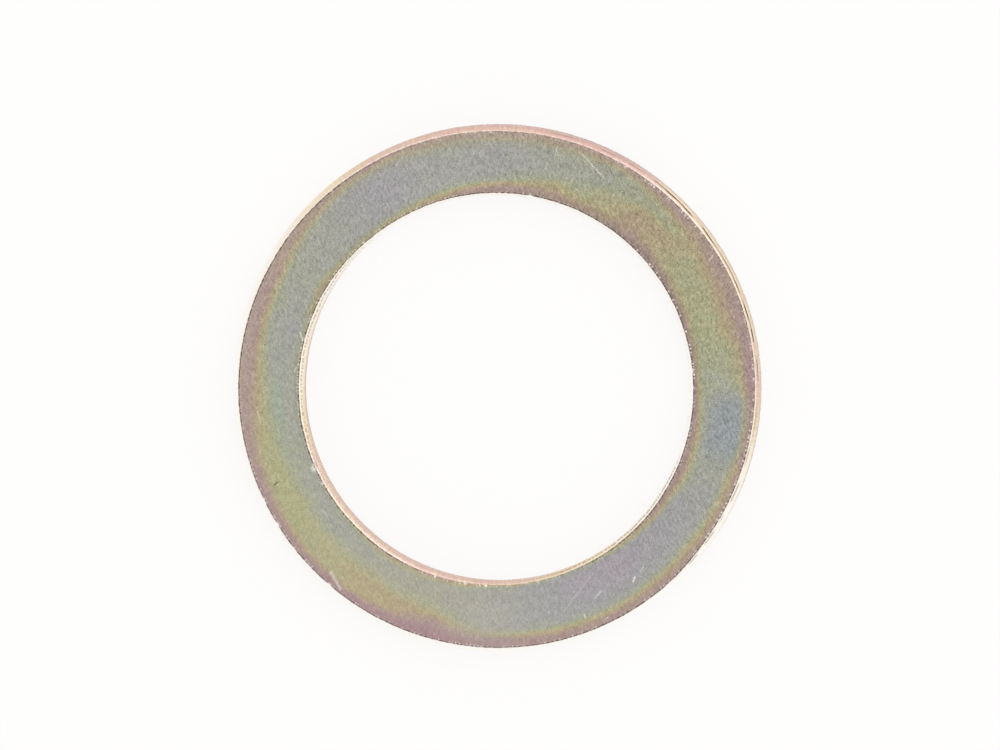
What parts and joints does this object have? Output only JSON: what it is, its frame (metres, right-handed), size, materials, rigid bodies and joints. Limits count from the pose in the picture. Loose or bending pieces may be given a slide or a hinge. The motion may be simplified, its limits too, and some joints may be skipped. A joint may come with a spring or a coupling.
{
  "type": "shim ring",
  "caption": "Flat round shim ring of plated steel sheet with sheared, rolled-over edges; spaces parts apart on a shaft or in a housing bore.",
  "frame": {"origin": "centre of the ring on its lower face", "axes": "+Z along the ring's axis, out of the upper face, whose corners are rolled over; X and Y are any two directions across the ring"},
  "size_m": [0.03, 0.03, 0.002],
  "materials": {
    "plated_steel": "zinc plated and yellow chromated steel: satin faces with faint mauve, olive and blue-grey interference colours, brighter pink-gold edges"
  },
  "bodies": {
    "root": {"shim_ring": "plated_steel"}
  },
  "joints": []
}
